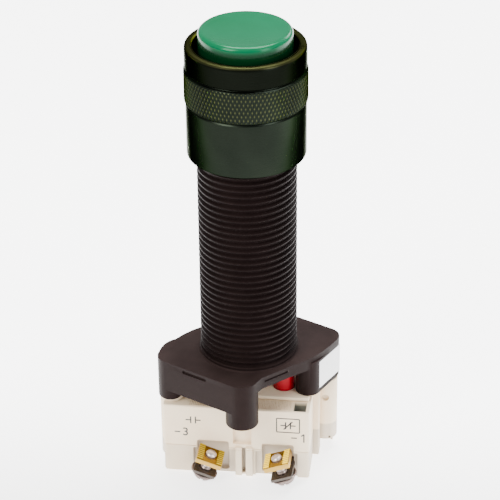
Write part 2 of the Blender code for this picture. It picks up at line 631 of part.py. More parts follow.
def terminal(corner, where):
    """Clamp plate, screw and contact strap of one terminal."""
    side, facing = corner
    x, y, z = TERMINAL_AT
    hole_r = TERMINAL_SCREW_R + SCREW_CLEARANCE
    half_w, half_d = CLAMP_WIDTH / 2, CLAMP_DEPTH / 2
    plate = tilted(box("clamp_plate_" + where, (-half_w, half_w), (-half_d, half_d),
                       (-CLAMP_THICKNESS, 0), "brass", edge=0.3), corner)
    cut(plate, tilted(cylinder("terminal_hole", (0, 0), hole_r, (-4, 3)), corner))

    head_top = -CLAMP_THICKNESS - WIRE_GAP - STRAP_THICKNESS - GAP
    head_bottom = head_top - TERMINAL_HEAD
    tilted(turned("terminal_screw_" + where, [
        (0, 0.5), (TERMINAL_SCREW_R - 0.4, 0.5), (TERMINAL_SCREW_R, 0.1),
        (TERMINAL_SCREW_R, head_top), (TERMINAL_HEAD_R, head_top),
        (TERMINAL_HEAD_R, head_bottom + 0.7), (TERMINAL_HEAD_R - 0.8, head_bottom),
        (0, head_bottom)], "steel", sides=SMALL_ROUND), corner)

    pole_x = side * POLE_X
    strap = strap_box("contact_strap_" + where, corner, STRAP_WIDTH,
                      (RISER_Y[0] - 0.1, STRAP_FRONT_Y), 0, "silver_strap")
    down = CLAMP_THICKNESS + WIRE_GAP + STRAP_THICKNESS / 2
    middle_x = side * (x + sin(TERMINAL_TILT) * down)
    middle_z = z - cos(TERMINAL_TILT) * down
    if side < 0:
        foot_z = (NO_PAD_TOP - 2 * CONTACT_HEIGHT, NO_PAD_TOP - CONTACT_HEIGHT)
        pad_z = (foot_z[0] + 0.1, NO_PAD_TOP)
    else:
        foot_z = (NC_PAD_BOTTOM + CONTACT_HEIGHT, NC_PAD_BOTTOM + 2 * CONTACT_HEIGHT)
        pad_z = (NC_PAD_BOTTOM, foot_z[1] - 0.1)
    riser = box("riser", (middle_x - 1.3, middle_x + 1.3), sorted(facing * v for v in RISER_Y),
                (middle_z, foot_z[1]))
    foot_x = sorted((pole_x - side * 1.7, middle_x + side * 1.2))
    foot_y = sorted((facing * (RISER_Y[1] - 0.05), facing * (CONTACT_Y - CONTACT_R)))
    foot = box("foot", foot_x, foot_y, (foot_z[0], foot_z[1] - 0.02))
    pad = cylinder("pad", (pole_x, facing * CONTACT_Y), CONTACT_R, pad_z, sides=12)
    join(strap, riser, foot, pad)
    cut(strap, tilted(cylinder("strap_hole", (0, 0), hole_r, (-9, -3)), corner))


NO_BRIDGE_Z = WINDOW_Z[0] + GAP
NO_PAD_TOP = NO_BRIDGE_Z - CONTACT_HEIGHT - TRAVEL - GAP
NC_BRIDGE_Z = WINDOW_Z[1] - GAP - BRIDGE_THICKNESS
NC_PAD_BOTTOM = NC_BRIDGE_Z + BRIDGE_THICKNESS + CONTACT_HEIGHT + GAP


def pole(prefix, side, bridge_z, finish):
    """One pole's moving pieces: plunger with its carrier, contact bridge and two springs."""
    x = side * POLE_X
    plunger = cylinder(prefix + "_plunger", (x, 0), PLUNGER_R,
                       (CARRIER_Z[1] - 1, PLUNGER_TOP), finish, sides=24, edge=0.8)
    carrier = box("carrier", (x - CARRIER_X / 2, x + CARRIER_X / 2),
                  (-CARRIER_Y / 2, CARRIER_Y / 2), CARRIER_Z, edge=0.4)
    window = box("window", (x - WINDOW_X / 2, x + WINDOW_X / 2), (-9, 9), WINDOW_Z)
    cut(join(plunger, carrier), window)

    bridge_top = bridge_z + BRIDGE_THICKNESS
    bridge = box(prefix + "_contact_bridge", (x - BRIDGE_WIDTH / 2, x + BRIDGE_WIDTH / 2),
                 (-BRIDGE_HALF_LENGTH, BRIDGE_HALF_LENGTH), (bridge_z, bridge_top), "brass",
                 edge=0.15)
    opens = side < 0
    button_z = (bridge_z - CONTACT_HEIGHT, bridge_z + 0.3) if opens else \
        (bridge_top - 0.3, bridge_top + CONTACT_HEIGHT)
    join(bridge, *[cylinder("contact", (x, y), CONTACT_R, button_z, sides=12)
                   for y in (-CONTACT_Y, CONTACT_Y)])
    spring_z = (bridge_top + GAP, WINDOW_Z[1] - GAP) if opens else \
        (WINDOW_Z[0] + GAP, bridge_z - GAP)
    spring(prefix + "_contact_spring", (x, 0), CONTACT_SPRING_R, CONTACT_SPRING_WIRE, spring_z, 4,
           "spring_steel")
    spring(prefix + "_return_spring", (x, 0), BLOCK_SPRING_R, BLOCK_SPRING_WIRE,
           (CAVITY_Z[0] + GAP, CARRIER_Z[0] - GAP), 4, "spring_steel")


def contact_block():
    """Two housing halves, the top cover, both poles, four terminals and the mounting screws."""
    front = block_half("housing_front")
    half_turn(front, "housing_rear", "housing")
    cover_z = (BLOCK_TOP + GAP, COVER_TOP)
    cover = box("block_cover", (-COVER_HALF_X, COVER_HALF_X), (-COVER_HALF_Y, COVER_HALF_Y),
                cover_z, "housing", edge=0.3)
    for side in (-1, 1):
        cut(cover, cylinder("cover_hole", (side * POLE_X, 0), PLUNGER_R + PLUNGER_CLEARANCE,
                            (cover_z[0] - 2, cover_z[1] + 2), sides=24))
    pole("no", -1, NO_BRIDGE_Z, "green_plunger")
    pole("nc", 1, NC_BRIDGE_Z, "red_plunger")
    for side, left_right in ((-1, "left"), (1, "right")):
        terminal((side, -1), "front_" + left_right)
        terminal((side, 1), "rear_" + left_right)
    for side, name in ((-1, "left"), (1, "right")):
        at = (side * EAR_AT[0], side * EAR_AT[1])
        head_top = EAR_BOTTOM + MOUNT_HEAD + GAP
        turned("mounting_screw_" + name, [
            (0, MOUNT_SCREW_TOP), (MOUNT_SCREW_R, MOUNT_SCREW_TOP), (MOUNT_SCREW_R, head_top),
            (MOUNT_HEAD_R, head_top), (MOUNT_HEAD_R, head_top - MOUNT_HEAD),
            (0, head_top - MOUNT_HEAD)], "steel", sides=16, at=at)
        bottom = LEG_BOTTOM + GAP
        inner = MOUNT_SCREW_R + SCREW_CLEARANCE
        turned("screw_insert_" + name, [
            (inner, bottom + INSERT_HEIGHT), (INSERT_R - GAP / 2, bottom + INSERT_HEIGHT),
            (INSERT_R - GAP / 2, bottom), (inner, bottom)], "brass", sides=16, at=at, closed=True)


operator_body()
operator_pieces()
contact_block()
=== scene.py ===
"""Looks of the industrial push button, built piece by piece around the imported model.

Metres, +Z up; the origin is on the button's axis at the contact block's base.
"""
from math import cos, pi, radians, sin

import bpy
from mathutils import Matrix, Vector


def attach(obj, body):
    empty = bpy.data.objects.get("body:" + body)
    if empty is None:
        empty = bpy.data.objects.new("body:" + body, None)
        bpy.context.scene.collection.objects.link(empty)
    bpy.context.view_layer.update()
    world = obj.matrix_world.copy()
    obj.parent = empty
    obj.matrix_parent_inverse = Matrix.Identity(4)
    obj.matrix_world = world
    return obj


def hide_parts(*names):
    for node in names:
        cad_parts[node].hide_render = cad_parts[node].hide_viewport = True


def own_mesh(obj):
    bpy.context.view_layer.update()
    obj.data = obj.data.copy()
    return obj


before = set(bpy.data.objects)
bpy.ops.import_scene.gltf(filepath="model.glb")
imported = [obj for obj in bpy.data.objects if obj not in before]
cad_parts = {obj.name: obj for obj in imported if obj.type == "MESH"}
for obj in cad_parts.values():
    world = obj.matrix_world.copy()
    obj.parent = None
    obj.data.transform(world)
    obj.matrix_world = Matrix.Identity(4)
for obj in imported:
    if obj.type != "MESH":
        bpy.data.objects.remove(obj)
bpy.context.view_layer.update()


# Stage: a pale floor that glows a little, as on a light table, and soft boxes round it. The camera
# stands in front, a little to the right, and looks down on the flange and the cap.
CAMERA_AT = (0.0669, -0.5255, 0.3864)
CAMERA_DOWN, CAMERA_TURN, CAMERA_ROLL = radians(30.41), radians(7.187), radians(-0.647)
LENS_MM, SENSOR_MM, CLIP_START = 145.0, 36, 0.01
FLOOR_SIZE, FLOOR_Z = 6, -0.0003
FLOOR_GREYS = (0.86, 0.90)
GLOW_Y, GLOW_STRENGTH = (-0.12, 0.06), (0.12, 4.2)
WORLD_COLOUR, WORLD_STRENGTH = (0.95, 0.97, 1.0, 1), 0.5
LIT_POINT = Vector((0, 0, 0.08))
SOFT_BOXES = (
    ("key_light", (-0.55, -0.75, 0.75), (0.5, 0.7), 17, (1.0, 0.96, 0.90)),
    ("fill_light", (0.75, -0.55, 0.35), (0.35, 0.9), 8, (0.97, 0.98, 1.0)),
    ("top_light", (0.05, 0.25, 0.95), (0.7, 0.5), 20, (1, 1, 1)),
    ("back_light", (0.42, 0.8, 0.62), (0.45, 0.3), 3.5, (1, 1, 1)),
)


def deselect():
    for thing in bpy.context.selected_objects:
        thing.select_set(False)


def fill(tree, socket, value):
    """Links a socket to an output, or sets it to a plain value."""
    if isinstance(value, bpy.types.NodeSocket):
        tree.links.new(value, socket)
    else:
        socket.default_value = value


def fill_sockets(tree, node, **values):
    """Fills a node's sockets by name (underscores for spaces), and sets its own settings."""
    for name, value in values.items():
        socket = node.inputs.get(name.replace("_", " "))
        if socket is None:
            setattr(node, name, value)
        else:
            fill(tree, socket, value)
    return node


def add_node(tree, kind, **values):
    return fill_sockets(tree, tree.nodes.new(kind), **values)


def blank_material(name):
    """A new material, its tree, its Principled shader and the piece's own coordinates."""
    made = bpy.data.materials.new(name)
    made.use_nodes = True
    tree = made.node_tree
    shader = tree.nodes["Principled BSDF"]
    place = tree.nodes.new("ShaderNodeTexCoord").outputs["Object"]
    return made, tree, shader, place


def noise(tree, place, scale, detail, roughness=0.5):
    return add_node(tree, "ShaderNodeTexNoise", Vector=place, Scale=scale, Detail=detail,
                    Roughness=roughness).outputs["Fac"]


def ramp(tree, source, *stops):
    """A value turned into a colour, by stops of (position, colour)."""
    made = add_node(tree, "ShaderNodeValToRGB", Fac=source)
    elements = made.color_ramp.elements
    for index, (position, colour) in enumerate(stops):
        stop = elements[index] if index < 2 else elements.new(position)
        stop.position, stop.color = position, (*colour, 1)
    return made.outputs["Color"]


def remap(tree, source, start=0.0, end=1.0, low=0.0, high=1.0, curve="LINEAR"):
    """A value between start and end, moved to between low and high."""
    return add_node(tree, "ShaderNodeMapRange", Value=source, From_Min=start, From_Max=end,
                    To_Min=low, To_Max=high, interpolation_type=curve).outputs["Result"]


deselect()
bpy.ops.mesh.primitive_plane_add(size=FLOOR_SIZE, location=(0, 0, FLOOR_Z))
floor = bpy.context.object
floor.name = "floor"
floor_white, tree, shader, place = blank_material("floor_white")
paper = ramp(tree, noise(tree, place, 3.0, 2.0),
             *((position, [grey] * 3) for position, grey in enumerate(FLOOR_GREYS)))
depth = add_node(tree, "ShaderNodeSeparateXYZ", Vector=place).outputs["Y"]
fill_sockets(tree, shader, Base_Color=paper, Roughness=0.9, Emission_Color=(1, 1, 1, 1),
             Emission_Strength=remap(tree, depth, *GLOW_Y, *GLOW_STRENGTH, curve="SMOOTHSTEP"))
floor.data.materials.append(floor_white)

world = bpy.data.worlds.new("studio")
bpy.context.scene.world = world
world.use_nodes = True
fill_sockets(world.node_tree, world.node_tree.nodes["Background"], Color=WORLD_COLOUR,
             Strength=WORLD_STRENGTH)

for name, at, size, watts, colour in SOFT_BOXES:
    bpy.ops.object.light_add(type="AREA", location=at)
    lamp = bpy.context.object
    lamp.name = name
    lamp.data.shape = "RECTANGLE"
    lamp.data.size, lamp.data.size_y = size
    lamp.data.energy = watts
    lamp.data.color = colour
    lamp.rotation_euler = (Vector(at) - LIT_POINT).to_track_quat("Z", "Y").to_euler()

bpy.ops.object.camera_add(location=CAMERA_AT)
camera = bpy.context.object
camera.data.sensor_width = SENSOR_MM
camera.data.lens = LENS_MM
camera.data.clip_start = CLIP_START
facing = Matrix.Rotation(CAMERA_TURN, 4, "Z") @ Matrix.Rotation(pi / 2 - CAMERA_DOWN, 4, "X")
camera.rotation_euler = (facing @ Matrix.Rotation(CAMERA_ROLL, 4, "Z")).to_euler()
bpy.context.scene.camera = camera


# Operator moulding: one black thermoplastic piece, with the barrel and its rolled thread, the
# flange that sits behind the panel, two free posts and two long legs that take the block's screws.
MM = 0.001
MERGE = 1e-6
FLANGE_TOP, FLANGE_THICK = 41.0, 4
ROOT_Z = FLANGE_TOP - 2
BARREL_TOP = 134.8
THREAD_CREST_R, THREAD_ROOT_R, THREAD_PITCH = 15.0, 14.05, 2.06
COLLAR_R, COLLAR_TOP, COLLAR_FOOT_R = 15.4, FLANGE_TOP + 1.35, 15.9
FLANGE_TURN = radians(-26.6)
HALF_X, HALF_Y, CORNER_R = 21.65, 22.15, 4.5
POST_AT, POST_R, POST_BOTTOM = (8.55, -17.08), 5.07, 25.1
NECK = ((POST_AT[0] + POST_R, POST_AT[1] + 3.7), (HALF_X - 4.2, -3.3))
LEG_R, LEG_END_Y, LEG_BOTTOM, LEG_BACK_R = 3.9, 2.8, 27.0, 3.3
SKIRT_BOTTOM, SKIRT_WALL = 30.5, 2.4
NOTCH_X, NOTCH_Z, NOTCH_DEPTH = (1.3, 10.0), (FLANGE_TOP - 2.0, FLANGE_TOP - 0.9), 0.5
STRIP_Z, STRIP_DEPTH = (FLANGE_TOP - 1.9, FLANGE_TOP - 1.2), 0.35
LABEL_Y, LABEL_Z, LABEL_GAP, RECESS_DEPTH = (7.25, 19.55), (28.3, 38.1), 0.15, 0.6
EAR_AT = (23.7, 7.1)
SCREW_HOLE_R, SCREW_HOLE_Z = 2.65, (24.0, 35.8)
GUIDE_SEAT_R, GUIDE_SEAT_Z = 11.7, BARREL_TOP - 18
HOLLOW_R, HOLLOW_FLOOR = 9.0, FLANGE_TOP + 3.4
STEM_HOLE_R, STEM_HOLE_BOTTOM = 4.35, 30.0
# Heights between which the flange's lighter base fades in: partly real dust, partly painted top
# light.
DUST_AND_TOPLIGHT_NONE_Z, DUST_AND_TOPLIGHT_FULL_Z = FLANGE_TOP + 1.8, FLANGE_TOP - 0.2


def named(name):
    """The piece just added, with its object and its mesh named."""
    made = bpy.context.object
    made.name = made.data.name = name
    return made


def open_whole(made):
    """Opens a piece for editing with all of it selected."""
    bpy.context.view_layer.objects.active = made
    bpy.ops.object.mode_set(mode="EDIT")
    bpy.ops.mesh.select_all(action="SELECT")


def close_edit():
    bpy.ops.object.mode_set(mode="OBJECT")


def moved(x, y, z=0):
    """A shift in mm, as a matrix."""
    return Matrix.Translation((x * MM, y * MM, z * MM))


def line_of(name, points):
    """An upright polyline of (radius, height) in mm: one corner of a plane, extruded by steps."""
    deselect()
    bpy.ops.mesh.primitive_plane_add(size=MM, location=(0, 0, 0))
    made = named(name)
    bpy.ops.object.mode_set(mode="EDIT")
    bpy.ops.mesh.select_mode(type="VERT")
    bpy.ops.mesh.select_all(action="DESELECT")
    close_edit()
    for vertex in made.data.vertices[1:]:
        vertex.select = True
    bpy.ops.object.mode_set(mode="EDIT")
    bpy.ops.mesh.delete(type="VERT")
    bpy.ops.mesh.select_all(action="SELECT")
    close_edit()
    made.data.vertices[0].co = (points[0][0] * MM, 0, points[0][1] * MM)
    bpy.ops.object.mode_set(mode="EDIT")
    for (r0, z0), (r1, z1) in zip(points, points[1:]):
        step = ((r1 - r0) * MM, 0, (z1 - z0) * MM)
        bpy.ops.mesh.extrude_region_move(TRANSFORM_OT_translate={"value": step})
    close_edit()
    return made


def tidy_mesh(made, angle=35):
    """Merges doubles, turns the faces outwards and shades the piece."""
    deselect()
    made.select_set(True)
    open_whole(made)
    bpy.ops.mesh.remove_doubles(threshold=MERGE)
    bpy.ops.mesh.normals_make_consistent(inside=False)
    close_edit()
    bpy.ops.object.shade_smooth_by_angle(angle=radians(angle))
    made.select_set(False)
    return made


def turned(name, points, steps=64, at=(0, 0)):
    """A profile of (radius, height) in mm, spun a full turn round an upright axis."""
    made = line_of(name, points)
    open_whole(made)
    bpy.ops.mesh.spin(steps=steps, angle=2 * pi, center=(0, 0, 0), axis=(0, 0, 1))
    close_edit()
    made.data.transform(moved(*at))
    return tidy_mesh(made)


def apply_all(made):
    """Applies a piece's modifiers in turn."""
    deselect()
    made.select_set(True)
    bpy.context.view_layer.objects.active = made
    for modifier in list(made.modifiers):
        bpy.ops.object.modifier_apply(modifier=modifier.name)
    made.select_set(False)


def boolean(made, other, operation="DIFFERENCE"):
    """Cuts or joins another piece, which is then removed."""
    modifier = made.modifiers.new("cut", "BOOLEAN")
    modifier.object = other
    modifier.operation = operation
    modifier.solver = "EXACT"
    apply_all(made)
    bpy.data.objects.remove(other)


def drill(made, radius, low, high, at=(0, 0)):
    """Cuts an upright round hole between two heights in mm."""
    bit = turned("drill", [(0, high), (radius, high), (radius, low), (0, low)], 32, at)
    boolean(made, bit)


def soften(made, width, segments=3, limit=30):
    """Rounds a piece's sharp edges."""
    bevel = made.modifiers.new("edges", "BEVEL")
    bevel.width = width * MM
    bevel.segments = segments
    bevel.limit_method = "ANGLE"
    bevel.angle_limit = radians(limit)
    apply_all(made)
    return tidy_mesh(made)


def slab(name, outline, low, high):
    """A flat outline in mm, made thick between two heights: a filled circle, its rim moved."""
    deselect()
    bpy.ops.mesh.primitive_circle_add(vertices=len(outline), radius=MM, fill_type="NGON")
    made = named(name)
    for vertex, (x, y) in zip(made.data.vertices, outline):
        vertex.co = (x * MM, y * MM, low * MM)
    open_whole(made)
    lift = (0, 0, (high - low) * MM)
    bpy.ops.mesh.extrude_region_move(TRANSFORM_OT_translate={"value": lift})
    close_edit()
    return tidy_mesh(made)


def arc(centre, radius, start, end, steps):
    """Points on an arc between two angles in degrees."""
    angles = [radians(start + (end - start) * i / steps) for i in range(steps + 1)]
    return [(centre[0] + radius * cos(a), centre[1] + radius * sin(a)) for a in angles]


def rectangle(x, y):
    return [(x[0], y[0]), (x[1], y[0]), (x[1], y[1]), (x[0], y[1])]


def turn_flange(points, flip=1):
    """Turns points to the flange's own angle, and by another half turn where flip is -1."""
    c, s = cos(FLANGE_TURN) * flip, sin(FLANGE_TURN) * flip
    return [(x * c - y * s, x * s + y * c) for x, y in points]


def blend(tree, amount, under, over):
    """Two colours mixed by an amount, each an output or a plain value."""
    made = add_node(tree, "ShaderNodeMix", data_type="RGBA")
    for index, value in ((0, amount), (6, under), (7, over)):
        fill(tree, made.inputs[index], value)
    return made.outputs[2]


def maths(tree, operation, *values):
    """A sum on one to three values, each an output or a plain number."""
    made = add_node(tree, "ShaderNodeMath", operation=operation)
    for socket, value in zip(made.inputs, values):
        fill(tree, socket, value)
    return made.outputs["Value"]


def relief(tree, shader, height, strength, distance):
    """Fine bumps on a shader's surface, from a pattern's value."""
    bumps = add_node(tree, "ShaderNodeBump", Strength=strength, Distance=distance, Height=height)
    fill_sockets(tree, shader, Normal=bumps.outputs["Normal"])


def moulded(name, dark, light, grain=2200.0, roughness=(0.42, 0.6), bump=0.25, dust=0.3,
            specular=0.3):
    """Moulded plastic: fine spark-eroded grain, faint flow clouding and a little dust."""
    made, tree, shader, place = blank_material(name)
    cloud = noise(tree, place, 90.0, 5.0, 0.6)
    tone = ramp(tree, cloud, (0.3, dark), (0.72, light))
    speck = noise(tree, place, grain, 3.0)
    dusty = tuple(min(1, 3 * c + 0.03) for c in light) + (1,)
    fill_sockets(tree, shader,
                 Base_Color=blend(tree, remap(tree, speck, 0.62, 0.78, 0.0, dust), tone, dusty),
                 Roughness=remap(tree, cloud, low=roughness[0], high=roughness[1]),
                 Specular_IOR_Level=specular)
    relief(tree, shader, speck, bump, 0.00008)
    return made


def reopened(material):
    """The tree, shader, coordinates and base colour so far of a material that gets a layer more."""
    tree = material.node_tree
    shader = tree.nodes["Principled BSDF"]
    place = tree.nodes["Texture Coordinate"].outputs["Object"]
    return tree, shader, place, shader.inputs["Base Color"].links[0].from_socket


def dress(piece, material, body="operator", replaces=()):
    """Gives a finished piece its material, its body and the nodes it replaces."""
    piece.data.materials.clear()
    piece.data.materials.append(material)
    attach(piece, body)
    if replaces:
        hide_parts(*replaces)
    return piece


barrel_plastic = moulded("barrel_plastic", (0.0046, 0.0027, 0.0026), (0.0085, 0.0052, 0.0050),
                         specular=0.11, dust=0.2)
# Below the collar, faces that look up get a lighter, browner base. This is partly real dust on the
# flange and partly painted top light, which makes level faces brighter than the barrel's sides.
tree, shader, place, clean = reopened(barrel_plastic)
level = add_node(tree, "ShaderNodeSeparateXYZ", Vector=place).outputs["Z"]
dust_and_toplight_band = remap(tree, level, DUST_AND_TOPLIGHT_NONE_Z * MM, DUST_AND_TOPLIGHT_FULL_Z * MM)
normal = add_node(tree, "ShaderNodeNewGeometry").outputs["Normal"]
upward = add_node(tree, "ShaderNodeSeparateXYZ", Vector=normal).outputs["Z"]
dust_and_toplight_mask = maths(tree, "MULTIPLY", dust_and_toplight_band, remap(tree, upward, 0.2, 0.9, 0.30, 1.0))
dust_and_toplight_colour = ramp(tree, noise(tree, place, 55.0, 6.0, 0.65), (0.3, (0.0170, 0.0108, 0.0100)),
            (0.7, (0.0330, 0.0222, 0.0208)))
fill_sockets(tree, shader, Base_Color=blend(tree, dust_and_toplight_mask, clean, dust_and_toplight_colour),
             Specular_Tint=(0.42, 0.28, 0.27, 1))

turns = int((BARREL_TOP - COLLAR_TOP) / THREAD_PITCH) + 3
thread = line_of("operator_moulding", [
    (THREAD_ROOT_R, 0), (THREAD_ROOT_R + 0.06, 0.42), (THREAD_CREST_R - 0.1, 0.84),
    (THREAD_CREST_R, 0.98), (THREAD_CREST_R, 1.30), (THREAD_CREST_R - 0.1, 1.44),
    (THREAD_ROOT_R + 0.06, 1.86), (THREAD_ROOT_R, THREAD_PITCH)])
thread.data.transform(moved(0, 0, COLLAR_TOP - 1.5 * THREAD_PITCH))
screw = thread.modifiers.new("thread", "SCREW")
screw.steps = screw.render_steps = 64
screw.iterations = turns
screw.screw_offset = THREAD_PITCH * MM
screw.use_merge_vertices = True
screw.merge_threshold = MERGE
apply_all(thread)
for height, keep in ((COLLAR_TOP - 0.4, 1), (BARREL_TOP, -1)):
    open_whole(thread)
    bpy.ops.mesh.bisect(plane_co=(0, 0, height * MM), plane_no=(0, 0, keep), use_fill=True,
                        clear_inner=True)
    close_edit()
tidy_mesh(thread)

edge = arc((-HALF_X + CORNER_R, -HALF_Y + CORNER_R), CORNER_R, 180, 270, 8)
edge += arc(POST_AT, POST_R, -90, 5, 12)
edge += [*NECK, (HALF_X - 2.9, -0.4), (HALF_X - 1.7, 2.4), (HALF_X - 0.8, 5.6),
         (HALF_X - 0.2, 9.5), (HALF_X, 13.0)]
swell = [(HALF_X + 0.5, 10.8), (HALF_X + 0.95, 12.4), (HALF_X + 1.05, 14.2),
         (HALF_X + 0.75, 16.0)]
far_edge = [(-x, -y) for x, y in edge[:-1] + swell]
flange = slab("flange", turn_flange(edge[2:] + far_edge), FLANGE_TOP - FLANGE_THICK, FLANGE_TOP)
start, end = map(Vector, NECK)
along = (end - start).normalized()
out = Vector((along.y, -along.x))
strip = [start + along - STRIP_DEPTH * out, start + along + out, end - along + out,
         end - along - STRIP_DEPTH * out]
skirt = rectangle((-POST_AT[0], HALF_X - CORNER_R), (HALF_Y - SKIRT_WALL, HALF_Y))
notch = rectangle(NOTCH_X, (HALF_Y - NOTCH_DEPTH, HALF_Y + 1))
for flip in (1, -1):
    post = arc(POST_AT, POST_R, -90, 270, 38)[:-1]
    leg = arc((HALF_X - LEG_R, LEG_END_Y + LEG_R), LEG_R, 180, 360, 16)
    corner = arc((HALF_X - CORNER_R, HALF_Y - CORNER_R), CORNER_R, 0, 90, 8)
    leg += swell + corner[2:] if flip < 0 else corner
    leg += arc((HALF_X - CORNER_R, HALF_Y - LEG_BACK_R), LEG_BACK_R, 90, 180, 8)[1:]
    for name, outline, low, high, operation in (
            ("post", post, POST_BOTTOM, ROOT_Z, "UNION"),
            ("leg", leg, LEG_BOTTOM, ROOT_Z, "UNION"),
            ("skirt", skirt, SKIRT_BOTTOM, ROOT_Z, "UNION"),
            ("notch", notch, *NOTCH_Z, "DIFFERENCE"),
            ("strip", strip, *STRIP_Z, "DIFFERENCE")):
        boolean(flange, slab(name, turn_flange(outline, flip), low, high), operation)
recess = rectangle((HALF_X - RECESS_DEPTH, HALF_X + 1),
                   (LABEL_Y[0] - LABEL_GAP, LABEL_Y[1] + LABEL_GAP))
boolean(flange, slab("label_recess", turn_flange(recess), LABEL_Z[0] - LABEL_GAP,
                     LABEL_Z[1] + LABEL_GAP))
soften(flange, 0.6, limit=40)
boolean(thread, turned("collar", [
    (0, COLLAR_TOP), (COLLAR_R - 0.3, COLLAR_TOP), (COLLAR_R, COLLAR_TOP - 0.3),
    (COLLAR_R, FLANGE_TOP + 0.4), (COLLAR_FOOT_R, FLANGE_TOP - 0.1), (COLLAR_FOOT_R, ROOT_Z),
    (0, ROOT_Z)]), "UNION")
boolean(flange, thread, "UNION")
flange.name = flange.data.name = "operator_moulding"
boolean(flange, turned("bores", [
    (0, BARREL_TOP + 2), (GUIDE_SEAT_R, BARREL_TOP + 2), (GUIDE_SEAT_R, GUIDE_SEAT_Z),
    (HOLLOW_R, GUIDE_SEAT_Z), (HOLLOW_R, HOLLOW_FLOOR), (STEM_HOLE_R, HOLLOW_FLOOR),
    (STEM_HOLE_R, STEM_HOLE_BOTTOM), (0, STEM_HOLE_BOTTOM)], 48))
for flip in (1, -1):
    drill(flange, SCREW_HOLE_R, *SCREW_HOLE_Z, at=(EAR_AT[0] * flip, EAR_AT[1] * flip))
tidy_mesh(flange, angle=40)
dress(flange, barrel_plastic, replaces=["operator_body"])


# Bezel ring: turned aluminium with a band of diamond knurling between two thin grooves, anodised a
# green black. It screws down over the barrel and clamps the panel.
BEZEL_BOTTOM, BEZEL_TOP = 109.5, 144.7
BAND_BOTTOM, BAND_TOP, BAND_R, BAND_ROWS = 127.3, 137.1, 18.07, 4
KNURL_ROUND = 93
KNURL_INSET, KNURL_RISE, KNURL_TIP = 0.2, 0.08, 0.12

rows = [(BAND_R, BAND_TOP + (BAND_BOTTOM - BAND_TOP) * i / BAND_ROWS)
        for i in range(BAND_ROWS + 1)]
bezel = turned("bezel_ring_turned", [
    (15.4, 144.0), (15.5, 144.35), (15.85, 144.62), (16.3, BEZEL_TOP), (16.9, BEZEL_TOP),
    (17.4, 144.58), (17.72, 144.28), (17.86, 143.85), (17.9, 143.3), (17.9, 138.0),
    (17.62, 137.78), (17.5, 137.55), (17.56, 137.4)] + rows + [
    (17.66, 127.0), (17.52, 126.82), (17.6, 126.6), (17.8, 126.35), (17.8, 110.25),
    (17.68, 109.85), (17.35, 109.58), (17.0, BEZEL_BOTTOM), (15.9, BEZEL_BOTTOM), (15.3, 110.1),
    (15.3, 136.1), (14.3, 136.1), (14.3, 137.6), (15.4, 137.6), (15.4, 144.0)], KNURL_ROUND)


def in_band(point):
    """Whether a point lies on the band that is knurled."""
    return (Vector(point).xy.length > (BAND_R - 0.06) * MM
            and BAND_BOTTOM * MM - 1e-5 < point[2] < BAND_TOP * MM + 1e-5)


def choose(made, kind, wanted):
    """Selects the vertices, edges or faces of a mesh that pass a test, and opens it for editing."""
    deselect()
    bpy.context.view_layer.objects.active = made
    bpy.ops.object.mode_set(mode="EDIT")
    bpy.ops.mesh.select_mode(type=kind)
    bpy.ops.mesh.select_all(action="DESELECT")
    close_edit()
    for item in made.data.edges if kind == "EDGE" else made.data.polygons:
        item.select = wanted(item)
    bpy.ops.object.mode_set(mode="EDIT")


first_centre = len(bezel.data.vertices)
choose(bezel, "FACE", lambda face: in_band(face.center))
bpy.ops.mesh.poke(offset=0)
close_edit()


def inside_grid(line):
    """Whether an edge belongs to the band's first square grid, away from the band's two rims."""
    ends = [bezel.data.vertices[i].co for i in line.vertices]
    on_rim = all(min(abs(end.z - BAND_TOP * MM), abs(end.z - BAND_BOTTOM * MM)) < 1e-6
                 for end in ends)
    return all(i < first_centre for i in line.vertices) and all(map(in_band, ends)) and not on_rim


choose(bezel, "EDGE", inside_grid)
bpy.ops.mesh.dissolve_edges(use_verts=False)
close_edit()
choose(bezel, "FACE", lambda face: in_band(face.center))
bpy.ops.mesh.inset(thickness=KNURL_INSET * MM, depth=KNURL_RISE * MM, use_individual=True)
bpy.ops.mesh.poke(offset=KNURL_TIP * MM)
close_edit()
tidy_mesh(bezel, angle=28)

anodised, tree, shader, place = blank_material("anodised_black_green")
shade = ramp(tree, noise(tree, place, 45.0, 3.0), (0.3, (0.0085, 0.0115, 0.0085)),
             (0.7, (0.0160, 0.0205, 0.0150)))
level = add_node(tree, "ShaderNodeSeparateXYZ", Vector=place)
across = add_node(tree, "ShaderNodeCombineXYZ", X=level.outputs["X"], Y=level.outputs["Y"])
radius = add_node(tree, "ShaderNodeVectorMath", operation="LENGTH",
                  Vector=across.outputs["Vector"])
# Painted highlight: the knurl's crests and the rounded edge of the top rim get a brighter
# olive-gold base, so that they shine.
crest_highlight = remap(tree, radius.outputs["Value"], (BAND_R + 0.09) * MM, (BAND_R + 0.19) * MM, high=0.5)
rim_highlight = remap(tree, level.outputs["Z"], (BEZEL_TOP - 0.75) * MM, (BEZEL_TOP - 0.15) * MM,
                 high=0.45)
# Painted shade: the upper ring between the knurl and the rim is made darker than the lower sleeve.
upper = remap(tree, level.outputs["Z"], (BAND_TOP + 0.3) * MM, (BAND_TOP + 0.9) * MM, high=0.75)
shaded_upper_ring = blend(tree, upper, shade, (0.0030, 0.0034, 0.0022, 1))
highlighted_base = blend(tree, maths(tree, "MAXIMUM", crest_highlight, rim_highlight), shaded_upper_ring, (0.135, 0.140, 0.052, 1))
stretch = add_node(tree, "ShaderNodeMapping", Vector=place, Scale=(1, 1, 60))
lathe = noise(tree, stretch.outputs["Vector"], 120.0, 4.0)
fill_sockets(tree, shader, Metallic=1.0, Base_Color=highlighted_base, Specular_Tint=(0.16, 0.18, 0.14, 1),
             Roughness=remap(tree, lathe, low=0.2, high=0.38))
relief(tree, shader, lathe, 0.12, 0.00003)
dress(bezel, anodised, replaces=["bezel_ring"])


